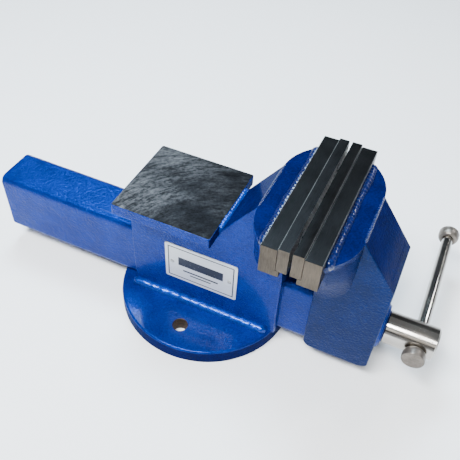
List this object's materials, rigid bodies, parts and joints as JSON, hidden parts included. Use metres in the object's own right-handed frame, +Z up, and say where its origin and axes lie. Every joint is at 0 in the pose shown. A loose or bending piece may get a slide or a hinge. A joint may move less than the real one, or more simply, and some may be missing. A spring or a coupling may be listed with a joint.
{
  "type": "bench vise",
  "caption": "Welded steel bench vise: a rectangular slide tube and a spindle with a sliding handle move the front jaw; a ground anvil sits behind the fixed jaw.",
  "frame": {"origin": "centre of the round foot's underside, on the bench top", "axes": "+X along the spindle and slide tube towards the handle, +Y across the jaws, +Z up"},
  "size_m": [0.4564, 0.238, 0.1814],
  "materials": {
    "blue_paint": "glossy blue hammered enamel",
    "ground_steel": "dark ground steel with arc marks from the cutter",
    "jaw_steel": "machined hardened steel, oiled",
    "black_oxide": "black oxide",
    "chrome": "bright turned and plated steel",
    "machined_steel": "turned steel",
    "cast_iron": "rough casting with machined bore",
    "label_metal": "satin plate with printed border and bars"
  },
  "bodies": {
    "base": {"base_plate": "blue_paint", "fixed_side_near": "blue_paint", "fixed_side_far": "blue_paint", "fixed_guide_plate": "blue_paint", "fixed_rear_plate": "blue_paint", "fixed_front_plate": "blue_paint", "fixed_slope_plate": "blue_paint", "anvil_plate": "ground_steel", "fixed_jaw_seat": "blue_paint", "fixed_jaw_block": "jaw_steel", "fixed_jaw_plate": "jaw_steel", "fixed_jaw_screw_near": "black_oxide", "fixed_jaw_screw_far": "black_oxide", "nameplate": "label_metal", "nameplate_rivet_rear": "machined_steel", "nameplate_rivet_front": "machined_steel", "spindle_nut": "cast_iron", "nut_bolt": "black_oxide"},
    "slide": {"slide_tube": "blue_paint", "moving_side_near": "blue_paint", "moving_side_far": "blue_paint", "moving_rear_plate": "blue_paint", "moving_slope_plate": "blue_paint", "moving_front_plate": "blue_paint", "moving_jaw_seat": "blue_paint", "moving_jaw_block": "jaw_steel", "moving_jaw_plate": "jaw_steel", "moving_jaw_screw_near": "black_oxide", "moving_jaw_screw_far": "black_oxide", "spindle_boss": "blue_paint"},
    "spindle": {"spindle": "chrome", "thrust_washer": "machined_steel", "retaining_collar": "machined_steel", "collar_pin": "machined_steel"},
    "handle": {"handle_bar": "chrome", "handle_cap_near": "chrome", "handle_cap_far": "chrome"}
  },
  "joints": [
    {"name": "jaw_slide", "type": "slide", "parent": "base", "child": "slide", "axis": [1, 0, 0], "range_m": [-0.0015, 0.15]},
    {"name": "spindle_turn", "type": "hinge", "parent": "slide", "child": "spindle", "pos_m": [0.2, 0, 0.0507], "axis": [1, 0, 0], "range_deg": [-110, 10805]},
    {"name": "handle_slide", "type": "slide", "parent": "spindle", "child": "handle", "axis": [0, 1, 0], "range_m": [-0.1228, 0]}
  ],
  "couplings": [
    {"joint": "spindle_turn", "follows": "jaw_slide", "rad_per_m": 1256.6}
  ]
}
